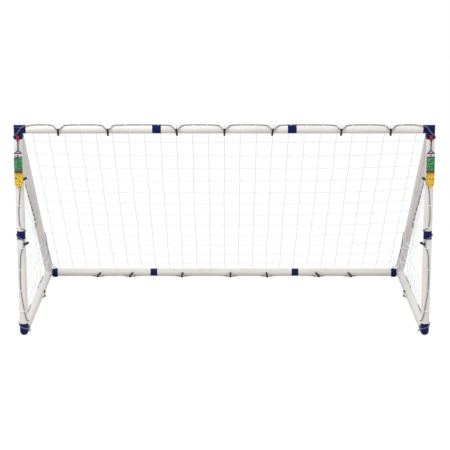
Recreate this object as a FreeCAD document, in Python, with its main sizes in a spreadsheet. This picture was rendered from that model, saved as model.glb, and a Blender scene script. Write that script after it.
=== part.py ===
import FreeCAD, Part

import math
import os

import Sketcher
from FreeCAD import Placement, Rotation, Vector

# Free-standing football goal: a plug-together frame of plastic tubes and moulded connectors, a net in
# three panels, border cords with their net clips, and a tag hanging on each post.
# Working frame: X across the goal, Y from the mouth to the back, Z up. Posts stand at Y = 0 here and
# the whole goal is moved back by `shift`, so that its origin is at the middle of its footprint.

doc = FreeCAD.newDocument("goal")
sheet = doc.addObject("Spreadsheet::Sheet", "Sizes")

sizes = [
    ("frameWidth", 2390, "post axis to post axis"),
    ("frameDepth", 1350, "post axis to rear bar axis"),
    ("crossbarHeight", 1250, "crossbar axis above the ground"),
    ("tubeOuter", 50, "outside diameter of tubes and connectors"),
    ("tubeWall", 2, "tube wall"),
    ("fitGap", 0.2, "radial gap between a spigot and its tube"),
    ("spigotLength", 42, "length of a spigot inside a tube"),
    ("spigotWall", 3, "wall of a hollow spigot"),
    ("edgeBreak", 1, "chamfer on the rims of the connectors"),
    ("couplingLength", 51, "collar of a crossbar or post coupling"),
    ("rearCouplingLength", 46, "collar of a rear bar coupling"),
    ("crossbarSplit", 784, "middle to middle of the crossbar couplings"),
    ("rearSplit", 960, "middle to middle of the rear bar couplings"),
    ("postSplit", 622, "middle of a post coupling above the ground"),
    ("cornerAcross", 47, "top corner, post axis to the end of its crossbar arm"),
    ("cornerDown", 58, "top corner, crossbar axis to the end of its post arm"),
    ("cornerBack", 72, "top corner, length of its stay arm"),
    ("armHollow", 18, "depth that a spigot's bore runs on into its arm"),
    ("footUp", 50, "foot elbow, floor axis to the end of its post arm"),
    ("footBack", 76, "foot elbow, post axis to the end of its floor arm"),
    ("padStart", 30, "middle of the post to the front of the foot's rest pad"),
    ("rearReach", 62, "rear corner, side tube axis to the end of its collar"),
    ("neckRadius", 17, "rear corner, neck that passes through the side tubes"),
    ("padHeight", 6, "rest pads under the connectors lift the tubes this far"),
    ("padWidth", 24, "rest pad, across its arm"),
    ("padLength", 30, "rest pad, along its arm"),
    ("clipWidth", 11, "net clip"),
    ("clipStrip", 3.8, "net clip, thickness of its strip"),
    ("clipLoop", 4.7, "net clip, inside radius of its two loops"),
    ("netInset", 42, "net panel edge to the axis of the nearest tube"),
    ("netThick", 3, "net panel, as a closed plate"),
    ("cordWidth", 5, "border cord diameter"),
    ("tagStandoff", 35, "tag plane in front of the post axis"),
    ("tagPivot", 62, "tag hinge below the crossbar axis"),
    ("strapLength", 53, "tag hinge to the tip of the hanger"),
    ("hangerHeight", 24, "hanger, tip to the top of the card"),
    ("tagWidth", 49, "card width"),
    ("tagHeight", 196, "card height"),
    ("tagThick", 1.2, "card thickness"),
    ("pinRadius", 1.6, "hinge pin in the red clip"),
    ("pinGap", 0.3, "gap between the pin and the strap's eye"),
]
for row, (alias, number, meaning) in enumerate(sizes, start=1):
    sheet.set(f"A{row}", meaning)
    sheet.set(f"B{row}", str(number))
    sheet.setAlias(f"B{row}", alias)
doc.recompute()


def value(alias):
    return float(sheet.get(alias))


tubeRadius = value("tubeOuter") / 2
floorAxis = value("padHeight") + tubeRadius
clipReach = tubeRadius + 0.3 + value("clipStrip") + value("clipLoop")  # axis to a clip's upper loop
clipFront = clipReach + value("clipLoop") + value("clipStrip")
shift = -(value("frameDepth") + tubeRadius - clipFront) / 2
postX = value("frameWidth") / 2

front, back, up, down = Vector(0, -1, 0), Vector(0, 1, 0), Vector(0, 0, 1), Vector(0, 0, -1)
stayRise = value("crossbarHeight") - floorAxis
stayLength = math.hypot(value("frameDepth"), stayRise)
stayDown = Vector(0, value("frameDepth"), -stayRise).normalize()

R = "Sizes.tubeOuter / 2"
BORE = "Sizes.tubeOuter / 2 - Sizes.tubeWall"
SPIGOT = "Sizes.tubeOuter / 2 - Sizes.tubeWall - Sizes.fitGap"
SPIGOT_BORE = "Sizes.tubeOuter / 2 - Sizes.tubeWall - Sizes.fitGap - Sizes.spigotWall"
nodes = []


def point(x, y, z):
    return Vector(x, y + shift, z)


def node(piece, name):
    piece.Label = name
    nodes.append(piece)
    return piece


def rod(name, radius, length, start, direction):
    piece = doc.addObject("Part::Cylinder", name)
    piece.setExpression("Radius", radius)
    piece.setExpression("Height", length)
    piece.Placement = Placement(start, Rotation(up, direction))
    return piece


def block(name, across, along, height, start):
    piece = doc.addObject("Part::Box", name)
    piece.setExpression("Length", across)
    piece.setExpression("Width", along)
    piece.setExpression("Height", height)
    piece.Placement = Placement(start, Rotation())
    return piece


def half_space(name, start, direction):
    """A large block whose one face passes through start, on the side that direction points to."""
    side = 8 * tubeRadius
    piece = doc.addObject("Part::Box", name)
    piece.Length = piece.Width = piece.Height = side
    turn = Rotation(up, direction)
    piece.Placement = Placement(start + turn.multVec(Vector(-side / 2, -side / 2, 0)), turn)
    return piece


def fuse(name, *pieces):
    joined = doc.addObject("Part::MultiFuse", name)
    joined.Shapes = list(pieces)
    joined.Refine = True
    return joined


def cut(name, base, tool):
    rest = doc.addObject("Part::Cut", name)
    rest.Base = base
    rest.Tool = tool
    return rest


def common(name, base, tool):
    rest = doc.addObject("Part::Common", name)
    rest.Base = base
    rest.Tool = tool
    return rest


def break_edges(name, base):
    """Chamfers every full rim that has the tube's own outside radius."""
    doc.recompute()
    piece = doc.addObject("Part::Chamfer", name)
    piece.Base = base
    size = value("edgeBreak")
    rims = []
    for number, edge in enumerate(base.Shape.Edges, start=1):
        if not isinstance(edge.Curve, Part.Circle) or len(edge.Vertexes) != 1:
            continue
        if abs(edge.Curve.Radius - tubeRadius) < 0.01:
            rims.append((number, size, size))
    piece.Edges = rims
    return piece


def tipped(base, tip):
    """Chamfers the rim that a rod has round the point tip, before the rod is joined to others."""
    doc.recompute()
    piece = doc.addObject("Part::Chamfer", base.Name + "_tipped")
    piece.Base = base
    size = value("edgeBreak")
    piece.Edges = [
        (number, size, size) for number, edge in enumerate(base.Shape.Edges, start=1)
        if isinstance(edge.Curve, Part.Circle) and (edge.Curve.Center - tip).Length < 0.01
    ]
    return piece


def solid(name, shape):
    piece = doc.addObject("Part::Feature", name)
    piece.Shape = shape
    return piece


def ring_body(name, outer, inner, length, start, direction):
    """A tube: two circles in a sketch, padded along direction."""
    body = doc.addObject("PartDesign::Body", name)
    sketch = body.newObject("Sketcher::SketchObject", name + "_ring")
    base_plane = [plane for plane in body.Origin.OriginFeatures if plane.Role == "XY_Plane"]
    sketch.AttachmentSupport = [(base_plane[0], "")]
    sketch.MapMode = "FlatFace"
    for radius in (outer, inner):
        circle = sketch.addGeometry(Part.Circle(Vector(0, 0, 0), up, tubeRadius))
        sketch.addConstraint(Sketcher.Constraint("Coincident", circle, 3, -1, 1))
        size = sketch.addConstraint(Sketcher.Constraint("Radius", circle, tubeRadius))
        sketch.setExpression(f"Constraints[{size}]", radius)
    pad = body.newObject("PartDesign::Pad", name + "_pad")
    pad.Profile = sketch
    pad.setExpression("Length", length)
    body.Placement = Placement(start, Rotation(up, direction))
    return body


def coupling(name, collar, middle, direction):
    """Two spigots end to end with a collar round their middle, bored through."""
    half = Vector(direction).multiply(value(collar) / 2)
    reach = Vector(direction).multiply(value(collar) / 2 + value("spigotLength"))
    long = f"Sizes.{collar} + 2 * Sizes.spigotLength"
    outside = fuse(
        name + "_outside",
        rod(name + "_collar", R, f"Sizes.{collar}", middle - half, direction),
        rod(name + "_spigots", SPIGOT, long, middle - reach, direction),
    )
    bored = cut(name + "_bored", outside, rod(name + "_bore", SPIGOT_BORE, long, middle - reach, direction))
    return break_edges(name, bored)


def arms(name, corner, ways):
    """Spigots beyond the ends of a connector's arms, and the blind bores that make the arms hollow."""
    spigots, bores = [], []
    for way, (direction, reach, hollow) in enumerate(ways, start=1):
        arm_end = corner + direction * value(reach)
        bore_start = corner + direction * (value(reach) - value(hollow))
        spigots.append(rod(f"{name}_spigot{way}", SPIGOT, "Sizes.spigotLength", arm_end, direction))
        bores.append(rod(f"{name}_bore{way}", SPIGOT_BORE, f"Sizes.spigotLength + Sizes.{hollow}",
                         bore_start, direction))
    return spigots, bores


def top_corner(name, side):
    """Two arms mitred square at the outer corner, and a third arm that runs back to the stay."""
    corner = point(side * postX, 0, value("crossbarHeight"))
    inward = Vector(-side, 0, 0)
    mitre = (inward + up).normalize()
    across = rod(name + "_across", R, f"{R} + Sizes.cornerAcross", corner - inward * tubeRadius, inward)
    drop = rod(name + "_drop", R, f"{R} + Sizes.cornerDown", corner + up * tubeRadius, down)
    across = tipped(across, corner + inward * value("cornerAcross"))
    drop = tipped(drop, corner + down * value("cornerDown"))
    across = common(name + "_mitre1", across, half_space(name + "_half1", corner, mitre))
    drop = common(name + "_mitre2", drop, half_space(name + "_half2", corner, mitre * -1))
    # the third arm is slimmer by the fit gap: three equal round arms through one point don't join
    stay = rod(name + "_stay_arm", R + " - Sizes.fitGap", "Sizes.cornerBack", corner, stayDown)
    stay = tipped(stay, corner + stayDown * value("cornerBack"))
    ways = [(inward, "cornerAcross", "armHollow"), (down, "cornerDown", "armHollow"),
            (stayDown, "cornerBack", "armHollow")]
    spigots, bores = arms(name, corner, ways)
    elbow = fuse(name + "_elbow", across, drop)
    outside = fuse(name + "_outside", fuse(name + "_arms", elbow, stay), *spigots)
    return node(cut(name, outside, fuse(name + "_bores", *bores)), name)


def foot_elbow(name, side):
    """A bend from the post to the floor tube, with a rest pad under its floor arm."""
    corner = point(side * postX, 0, floorAxis)
    knee = doc.addObject("Part::Sphere", name + "_knee")
    knee.setExpression("Radius", R)
    knee.Placement = Placement(corner, Rotation(Vector(1, 0, 0), 45))  # its poles stay inside the arms
    post_end = corner + up * value("footUp")
    floor_end = corner + back * value("footBack")
    post_arm = tipped(rod(name + "_post_arm", R, "Sizes.footUp", corner, up), post_end)
    floor_arm = tipped(rod(name + "_floor_arm", R, "Sizes.footBack", corner, back), floor_end)
    pad = block(name + "_pad", "Sizes.padWidth", "Sizes.padLength", "Sizes.padHeight + Sizes.tubeOuter / 4",
                point(side * postX - value("padWidth") / 2, value("padStart"), 0))
    spigots = [
        rod(name + "_spigot1", SPIGOT, "Sizes.spigotLength", post_end, up),
        rod(name + "_spigot2", SPIGOT, "Sizes.spigotLength", floor_end, back),
    ]
    bores = [
        rod(name + "_bore1", SPIGOT_BORE, "Sizes.spigotLength + Sizes.armHollow",
            post_end - up * value("armHollow"), up),
        rod(name + "_bore2", SPIGOT_BORE, "Sizes.spigotLength + Sizes.armHollow",
            floor_end - back * value("armHollow"), back),
    ]
    outside = fuse(name + "_outside", fuse(name + "_elbow", post_arm, floor_arm, knee), pad, *spigots)
    return node(cut(name, outside, fuse(name + "_bores", *bores)), name)


def mitre_normal():
    """Normal of the plane that halves the angle between stay and floor tube, on the stay's side."""
    return (stayDown * -1 - front).normalize()


def side_tubes(ending, side):
    """Stay and floor tube: mitred to each other at the rear corner, and cut flush with the rear bar."""
    corner = point(side * postX, 0, value("crossbarHeight"))
    rear = point(side * postX, value("frameDepth"), floorAxis)
    inward = Vector(-side, 0, 0)
    past = 3 * tubeRadius
    stay_run = stayLength - value("cornerBack") + past
    floor_run = value("frameDepth") - value("footBack") + past
    floor_start = point(side * postX, value("footBack"), floorAxis)
    for name, start, direction, length, away in (
        ("stay_tube_" + ending, corner + stayDown * value("cornerBack"), stayDown, stay_run,
         mitre_normal() * -1),
        ("side_floor_tube_" + ending, floor_start, back, floor_run, mitre_normal()),
    ):
        whole = ring_body(name + "_whole", R, BORE, f"{length}", start, direction)
        mitred = cut(name + "_mitred", whole, half_space(name + "_half", rear, away))
        flush = cut(name + "_flush", mitred, half_space(name + "_rear", rear + back * tubeRadius, back))
        neck = rod(name + "_neck", "Sizes.neckRadius + Sizes.fitGap", R, rear + inward * 5, inward)
        node(cut(name, flush, neck), name)


def rear_corner(name, side):
    """Collar on the rear bar, a neck through the side tubes and a core that fills their mitred ends."""
    rear = point(side * postX, value("frameDepth"), floorAxis)
    inward = Vector(-side, 0, 0)
    stay_up = stayDown * -1
    split = mitre_normal()
    collar = rod(name + "_collar", R, "Sizes.rearReach", rear, inward)
    around = fuse(
        name + "_around",
        rod(name + "_around1", R + " + Sizes.fitGap", "4 * Sizes.tubeOuter",
            rear - stay_up * tubeRadius, stay_up),
        rod(name + "_around2", R + " + Sizes.fitGap", "4 * Sizes.tubeOuter",
            rear - front * tubeRadius, front),
    )
    coped = cut(name + "_coped", collar, around)
    reach = "Sizes.rearReach + Sizes.spigotLength"
    cores = []
    for way, (direction, keep) in enumerate(((stay_up, split), (front, split * -1)), start=1):
        start = rear - direction * (3 * tubeRadius)
        core = rod(f"{name}_core{way}", SPIGOT, f"{reach} + 3 * {R}", start, direction)
        core = common(f"{name}_half_core{way}", core, half_space(f"{name}_side{way}", rear, keep))
        beyond = half_space(f"{name}_rear{way}", rear + back * tubeRadius, back)
        cores.append(cut(f"{name}_flush{way}", core, beyond))
    neck = rod(name + "_neck", "Sizes.neckRadius", "Sizes.rearReach", rear, inward)
    spigot = rod(name + "_spigot", SPIGOT, "Sizes.spigotLength", rear + inward * value("rearReach"), inward)
    bore = rod(name + "_bore", SPIGOT_BORE, "Sizes.spigotLength",
               rear + inward * value("rearReach"), inward)
    pad_start = rear + inward * (tubeRadius + 3) + front * (value("padWidth") / 2) + down * floorAxis
    if side > 0:
        pad_start = pad_start - Vector(value("padLength"), 0, 0)
    pad = block(name + "_pad", "Sizes.padLength", "Sizes.padWidth",
                "Sizes.padHeight + Sizes.tubeOuter / 4", pad_start)
    joined = fuse(name + "_outside", coped, neck, spigot, pad, *cores)
    return node(break_edges(name, cut(name + "_bored", joined, bore)), name)


def strip_link(span, upper, lower):
    """Side outline of a net clip: a strip with a loop at each end, open towards the tube.
    upper and lower are the loops' middles, as (outward, downward) from the tube's axis."""
    inner, outer = value("clipLoop"), value("clipLoop") + value("clipStrip")
    run = Vector(lower[0] - upper[0], lower[1] - upper[1], 0)
    outward = Vector(run.y, -run.x, 0).normalize()
    along = Vector(run).normalize()
    top, bottom = Vector(upper[0], upper[1], 0), Vector(lower[0], lower[1], 0)

    def around(middle, radius, degrees, sign):
        angle = math.radians(degrees)
        return middle + outward * (radius * math.cos(angle)) + along * (sign * radius * math.sin(angle))

    def bow(middle, radius, sign):
        return Part.Arc(around(middle, radius, 0, sign), around(middle, radius, span / 2, sign),
                        around(middle, radius, span, sign)).toShape()

    edges = [
        bow(top, outer, -1),
        Part.LineSegment(around(top, outer, span, -1), around(top, inner, span, -1)).toShape(),
        bow(top, inner, -1),
        Part.LineSegment(around(top, inner, 0, -1), around(bottom, inner, 0, 1)).toShape(),
        bow(bottom, inner, 1),
        Part.LineSegment(around(bottom, inner, span, 1), around(bottom, outer, span, 1)).toShape(),
        bow(bottom, outer, 1),
        Part.LineSegment(around(bottom, outer, 0, 1), around(top, outer, 0, -1)).toShape(),
    ]
    return Part.Face(Part.Wire(Part.sortEdges(edges)[0]))


def net_clip(middle, outward, downward, lean, lower):
    """One clip: its outline lies in the plane of outward and downward, centred on the tube's middle."""
    face = strip_link(205, (clipReach, 0), lower)
    clip = face.extrude(Vector(0, 0, value("clipWidth")))
    centred = Placement(Vector(0, 0, -value("clipWidth") / 2), Rotation())
    across = outward.cross(downward)
    facing = Placement(Vector(), Rotation(outward, downward, across, "XYZ"))
    leaned = Placement(middle, Rotation(outward, lean))
    clip.Placement = leaned.multiply(facing).multiply(centred)
    return clip


def clip_row(name, clips):
    return node(solid(name, Part.makeCompound(clips)), name)


def panel(name, corners, thickness):
    """A net panel as a flat plate between its corner points."""
    outline = Part.makePolygon(corners + corners[:1])
    return node(solid(name, Part.Face(outline).extrude(thickness)), name)


def cord(name, route):
    """Round cord along straight runs joined by tangent arcs, each as large as its two runs allow."""
    radius = value("cordWidth") / 2
    spots = [point(*spot) for spot in route]
    edges, bends = [], []
    start = spots[0]
    for before, here, after in zip(spots, spots[1:], spots[2:]):
        run_in, run_out = here - before, after - here
        shorter = min(run_in.Length, run_out.Length)
        turn = run_in.getAngle(run_out)
        setback = 0.45 * shorter
        bend = setback / math.tan(turn / 2)
        bends.append((bend, math.degrees(turn)))
        enter = here - Vector(run_in).normalize() * setback
        leave = here + Vector(run_out).normalize() * setback
        inside = (Vector(run_out).normalize() - Vector(run_in).normalize()).normalize()
        middle = here + inside * (bend / math.cos(turn / 2) - bend)
        edges.append(Part.LineSegment(start, enter).toShape())
        edges.append(Part.Arc(enter, middle, leave).toShape())
        start = leave
    edges.append(Part.LineSegment(start, spots[-1]).toShape())
    path = Part.Wire(edges)
    section = Part.Wire(Part.Circle(spots[0], spots[1] - spots[0], radius).toShape())
    tube = path.makePipeShell([section], True, False)
    expected = math.pi * radius**2 * path.Length
    tightest, sharpest = min(bend for bend, turn in bends), max(turn for bend, turn in bends)
    print(f"{name}: length {path.Length:.0f}, volume / expected {tube.Volume / expected:.4f}, "
          f"smallest radius {tightest:.1f}, largest turn {sharpest:.0f}")
    return node(solid(name, tube), name)


def mirrored(route):
    return [(-x, y, z) for x, y, z in route]


def hang_tag(ending, side):
    """Red clip with its pin on the top corner; strap, hanger and card swing on that pin."""
    pivot = point(side * postX, -value("tagStandoff"), value("crossbarHeight") - value("tagPivot"))
    pin, gap = value("pinRadius"), value("pinGap")
    eye_wide, ear_wide, ear = 5, 2.5, 4.5
    sideways = Vector(1, 0, 0)
    rear_face = value("tagStandoff") - tubeRadius - 0.3

    # red clip: a tapered plate on the front of the corner's post arm, two ears and a pin
    plate = Part.Face(Part.makePolygon([
        Vector(-9, 0, 30), Vector(9, 0, 30), Vector(7.5, 0, -2), Vector(4, 0, -6),
        Vector(-4, 0, -6), Vector(-7.5, 0, -2), Vector(-9, 0, 30)])).extrude(Vector(0, -3, 0))
    plate.translate(pivot + Vector(0, rear_face, 0))
    grip = plate
    for way in (-1, 1):
        edge = way * (eye_wide / 2 + 0.3) - (ear_wide if way < 0 else 0)
        grip = grip.fuse(Part.makeCylinder(ear, ear_wide, pivot + Vector(edge, 0, 0), sideways))
        grip = grip.fuse(Part.makeBox(ear_wide, rear_face - 1, 2 * ear, pivot + Vector(edge, 0, -ear)))
    pin_length = eye_wide + 2 * (0.3 + ear_wide)
    grip = grip.fuse(Part.makeCylinder(pin, pin_length, pivot - sideways * (pin_length / 2), sideways))
    node(solid("tag_clip_" + ending, grip.removeSplitter()), "tag_clip_" + ending)

    # strap: an eye on the pin and a cord down to the hanger
    eye = Part.makeCylinder(pin + gap + 1.8, eye_wide, pivot - sideways * (eye_wide / 2), sideways)
    drop = Part.makeCylinder(1.9, value("strapLength") - pin - gap - 0.6,
                             pivot - up * (pin + gap + 0.6), down)
    hole = Part.makeCylinder(pin + gap, eye_wide, pivot - sideways * (eye_wide / 2), sideways)
    node(solid("tag_strap_" + ending, eye.fuse(drop).cut(hole).removeSplitter()), "tag_strap_" + ending)

    # hanger: a triangular frame with a thin web
    tip = pivot - up * value("strapLength")
    half, tall = value("tagWidth") / 2, value("hangerHeight")

    def triangle(half_foot, height, drop_from_tip, depth):
        corners = [Vector(-half_foot, -depth / 2, -drop_from_tip - height),
                   Vector(half_foot, -depth / 2, -drop_from_tip - height),
                   Vector(3, -depth / 2, -drop_from_tip), Vector(-3, -depth / 2, -drop_from_tip)]
        shape = Part.Face(Part.makePolygon(corners + corners[:1])).extrude(Vector(0, depth, 0))
        shape.translate(tip)
        return shape

    frame = triangle(half, tall, 0, 3).cut(triangle(half - 9, tall - 7, 4, 3))
    hanger = frame.fuse(triangle(half - 6, tall - 5, 3, 1))
    node(solid("tag_hanger_" + ending, hanger.removeSplitter()), "tag_hanger_" + ending)

    # card: square at the top, round at the bottom
    top, low = tip.z - tall, tip.z - tall - value("tagHeight")
    shoulder = low + half * 0.75
    face_y = pivot.y - value("tagThick") / 2
    left, right = pivot.x - half, pivot.x + half
    outline = Part.Wire([
        Part.LineSegment(Vector(left, face_y, top), Vector(right, face_y, top)).toShape(),
        Part.LineSegment(Vector(right, face_y, top), Vector(right, face_y, shoulder)).toShape(),
        Part.Arc(Vector(right, face_y, shoulder), Vector(pivot.x, face_y, low),
                 Vector(left, face_y, shoulder)).toShape(),
        Part.LineSegment(Vector(left, face_y, shoulder), Vector(left, face_y, top)).toShape(),
    ])
    card = Part.Face(outline).extrude(Vector(0, value("tagThick"), 0))
    node(solid("tag_card_" + ending, card), "tag_card_" + ending)


# tubes and connectors
crossHeight = value("crossbarHeight")
splitX, rearSplitX = value("crossbarSplit") / 2, value("rearSplit") / 2
halfCollar = "Sizes.couplingLength / 2"
halfRearCollar = "Sizes.rearCouplingLength / 2"
endRun = f"(Sizes.frameWidth - Sizes.crossbarSplit) / 2 - Sizes.cornerAcross - {halfCollar}"
rearEndRun = f"(Sizes.frameWidth - Sizes.rearSplit) / 2 - Sizes.rearReach - {halfRearCollar}"
rearY = value("frameDepth")
right = Vector(1, 0, 0)

node(ring_body("crossbar_tube_centre", R, BORE, "Sizes.crossbarSplit - Sizes.couplingLength",
               point(-splitX + value("couplingLength") / 2, 0, crossHeight), right), "crossbar_tube_centre")
node(ring_body("rear_tube_centre", R, BORE, "Sizes.rearSplit - Sizes.rearCouplingLength",
               point(-rearSplitX + value("rearCouplingLength") / 2, rearY, floorAxis), right),
     "rear_tube_centre")

for ending, side in (("left", -1), ("right", 1)):
    outward = Vector(side, 0, 0)
    collar_end = point(side * (splitX + value("couplingLength") / 2), 0, crossHeight)
    node(ring_body("crossbar_tube_" + ending, R, BORE, endRun, collar_end, outward),
         "crossbar_tube_" + ending)
    collar_end = point(side * (rearSplitX + value("rearCouplingLength") / 2), rearY, floorAxis)
    node(ring_body("rear_tube_" + ending, R, BORE, rearEndRun, collar_end, outward), "rear_tube_" + ending)

    upper = f"Sizes.crossbarHeight - Sizes.cornerDown - Sizes.postSplit - {halfCollar}"
    node(ring_body("post_tube_upper_" + ending, R, BORE, upper,
                   point(side * postX, 0, value("postSplit") + value("couplingLength") / 2), up),
         "post_tube_upper_" + ending)
    lower = f"Sizes.postSplit - {halfCollar} - Sizes.padHeight - {R} - Sizes.footUp"
    node(ring_body("post_tube_lower_" + ending, R, BORE, lower,
                   point(side * postX, 0, floorAxis + value("footUp")), up),
         "post_tube_lower_" + ending)
    side_tubes(ending, side)

    name = "crossbar_coupling_" + ending
    node(coupling(name, "couplingLength", point(side * splitX, 0, crossHeight), right), name)
    name = "rear_coupling_" + ending
    node(coupling(name, "rearCouplingLength", point(side * rearSplitX, rearY, floorAxis), right), name)
    name = "post_coupling_" + ending
    node(coupling(name, "couplingLength", point(side * postX, 0, value("postSplit")), up), name)
    top_corner("top_corner_" + ending, side)
    foot_elbow("foot_elbow_" + ending, side)
    rear_corner("rear_corner_" + ending, side)

# net clips: (place along the tube, lean in degrees)
crossbarClips = [(-960, 0), (-674, 2), (-278, 8), (0, 0), (280, -8), (675, -2), (960, 0)]
rearClips = [(-846, -38), (-627, -38), (-285, -11), (41, 0), (286, 11), (626, 38), (845, 38)]
postClips = [(959, 42), (571, 42)]  # (height, turn from the front towards the mouth)
floorClips = [(833, 0)]
# lower loop of a clip, (outward, downward) from the tube's axis: under its tube, or beside one that lies low
hanging = (tubeRadius - 3, tubeRadius + 2)
standing = (tubeRadius + 5, floorAxis - 9.3)
leaning = (tubeRadius + 6.5, floorAxis - 6.2)

clip_row("crossbar_clips", [
    net_clip(point(x, 0, crossHeight), front, down, lean, hanging) for x, lean in crossbarClips
])
clip_row("rear_clips", [
    net_clip(point(x, rearY, floorAxis), front, down, lean, leaning if abs(lean) > 20 else standing)
    for x, lean in rearClips
])
for ending, side in (("left", -1), ("right", 1)):
    inward = Vector(-side, 0, 0)
    clips = []
    for height, turn in postClips:
        swing = Rotation(up, -side * turn)
        outward, onward = swing.multVec(front), swing.multVec(inward)
        clips.append(net_clip(point(side * postX, 0, height), outward, onward, 0, hanging))
    clip_row("post_clips_" + ending, clips)
    clip_row("floor_clip_" + ending, [
        net_clip(point(side * postX, y, floorAxis), inward, down, lean, standing) for y, lean in floorClips
    ])

# net panels, inside the tubes that carry them
inset, thick = value("netInset"), value("netThick")
backOut = Vector(0, stayRise, value("frameDepth")).normalize()
top = stayDown * inset
low = stayDown * (stayLength - inset)
half = postX - inset
panel("net_back", [
    point(-half, top.y, crossHeight + top.z) - backOut * (thick / 2),
    point(half, top.y, crossHeight + top.z) - backOut * (thick / 2),
    point(half, low.y, crossHeight + low.z) - backOut * (thick / 2),
    point(-half, low.y, crossHeight + low.z) - backOut * (thick / 2),
], backOut * thick)
slope = stayRise / rearY
# the panel's edge runs parallel to the stay, one inset nearer the ground
lowered = inset * stayLength / rearY
for ending, side in (("left", -1), ("right", 1)):
    x = side * postX - thick / 2
    high = crossHeight - lowered - slope * inset
    floor = floorAxis + inset
    far = (crossHeight - lowered - floor) / slope
    panel("net_side_" + ending, [point(x, inset, high), point(x, far, floor), point(x, inset, floor)],
          Vector(thick, 0, 0))

# border cords, as (x, y, z) with the posts at y = 0
cornerWrap = [
    (-1198, 31, 1181), (-1217, 24, 1188), (-1227, 2, 1202), (-1218, -23, 1215), (-1197, -32, 1229),
    (-1168, -31, 1272), (-1140, -22, 1271), (-1110, -8, 1278),
]
overCrossbar = []
for x, lean in crossbarClips:
    overCrossbar += [(x - 46, -7.5, 1277.3), (x - 25, -24.5, 1272), (x - 8, -33.4, 1250.1),
                     (x + 8, -33.4, 1250.1), (x + 25, -24.5, 1272), (x + 46, -7.5, 1277.3)]
cord("crossbar_cord", cornerWrap + overCrossbar + mirrored(cornerWrap)[::-1])

sideRoute = [
    (-1195, -27.8, 1174), (-1194, -28.6, 1150), (-1195, -28.4, 1110),
    (-1193, -30, 1060), (-1190, -29, 1005), (-1174, -24.9, 969), (-1174, -24.9, 949),
    (-1188, -28.8, 918), (-1198, -28.5, 825), (-1204, -27.5, 735), (-1196, -30, 668), (-1173, -24, 656),
    (-1164, -1, 648), (-1173, 22, 640), (-1195, 31, 634), (-1217, 23, 628), (-1226, 0, 621),
    (-1217, -23, 614), (-1195, -31, 605), (-1177, -27.5, 593), (-1174, -24.9, 581), (-1174, -24.9, 561),
    (-1186, -29, 540), (-1198, -28.8, 515), (-1203, -27.8, 459), (-1206, -26.8, 387),
    (-1206, -26.8, 316), (-1201, -28.4, 255), (-1191, -28.9, 194), (-1183, -27.2, 137),
    (-1172, -23.5, 103), (-1163, -2, 92), (-1172, 24, 90), (-1195, 35, 89), (-1219, 23, 85),
    (-1227, -2, 77), (-1218, -25, 67), (-1193, -34, 57), (-1170, -25, 50), (-1161, 4, 40),
    (-1162, 42, 24), (-1167, 70, 8), (-1181, 92, 3), (-1208, 122, 3), (-1223, 144, 12),
    (-1228, 170, 34), (-1219, 206, 53), (-1216, 262, 53), (-1213, 345, 54), (-1213, 430, 54),
    (-1220, 500, 48), (-1226, 560, 30), (-1222, 640, 9), (-1214, 715, 4), (-1200, 772, 3.2),
    (-1182, 805, 3.6), (-1175, 825, 4), (-1175, 841, 4), (-1182, 861, 3.6), (-1204, 895, 3.2),
    (-1222, 935, 10), (-1227, 980, 34), (-1216, 1030, 53), (-1214, 1090, 54), (-1220, 1170, 48),
    (-1226, 1230, 31),
]
stayRoute = [
    (-1189, 53, 1163), (-1208, 65, 1152), (-1225, 89, 1155), (-1226, 120, 1148), (-1224, 160, 1110),
    (-1224, 224, 1047), (-1223, 311, 962), (-1222, 414, 864), (-1219, 514, 764), (-1213, 607, 671),
    (-1207, 702, 581), (-1207, 784, 506), (-1214, 830, 467), (-1226, 868, 455), (-1224, 905, 452),
    (-1206, 938, 443), (-1182, 960, 422), (-1166, 973, 388), (-1165, 1000, 342), (-1167, 1055, 288),
    (-1167, 1121, 232), (-1166, 1198, 168), (-1165, 1262, 112), (-1162, 1306, 81), (-1155, 1334, 67),
    (-1147, 1359, 60), (-1142, 1378, 44), (-1138, 1381, 22), (-1128, 1374, 8),
]
routes = (("left", (sideRoute, stayRoute)), ("right", (mirrored(sideRoute), mirrored(stayRoute))))
for ending, route in routes:
    cord("side_cord_" + ending, route[0])
    cord("stay_cord_" + ending, route[1])

underRear = [(-1122, 1372, 5), (-1092, 1366, 3.6), (-1040, 1370, 3.4)]
for x, lean in rearClips:
    tip = x + 20 * math.sin(math.radians(lean))
    underRear += [(tip - 54, 1367, 4), (tip - 29, 1349, 3.2), (tip - 9, 1332, 4),
                  (tip + 9, 1332, 4), (tip + 29, 1349, 3.2), (tip + 54, 1367, 4)]
cord("rear_cord", underRear + mirrored(underRear[:3])[::-1])

for ending, side in (("left", -1), ("right", 1)):
    hang_tag(ending, side)

# every object sound, then one file for each node
doc.recompute()
for piece in doc.Objects:
    if "Invalid" in piece.State or "Error" in piece.State:
        raise RuntimeError(f"{piece.Name} failed: {piece.State}")
os.makedirs("parts", exist_ok=True)
for piece in nodes:
    if piece.Shape.isNull() or not piece.Shape.isValid():
        raise RuntimeError(f"{piece.Label} has no sound shape")
    if min(part.Volume for part in piece.Shape.Solids) <= 0:
        raise RuntimeError(f"{piece.Label} has a solid turned inside out")
    piece.Shape.exportStep(f"parts/{piece.Label}.step")
print(len(nodes), "nodes, stay", round(stayLength, 1), "shift", round(shift, 2))
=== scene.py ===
import math

import bmesh
import bpy
from mathutils import Matrix, Vector


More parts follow.
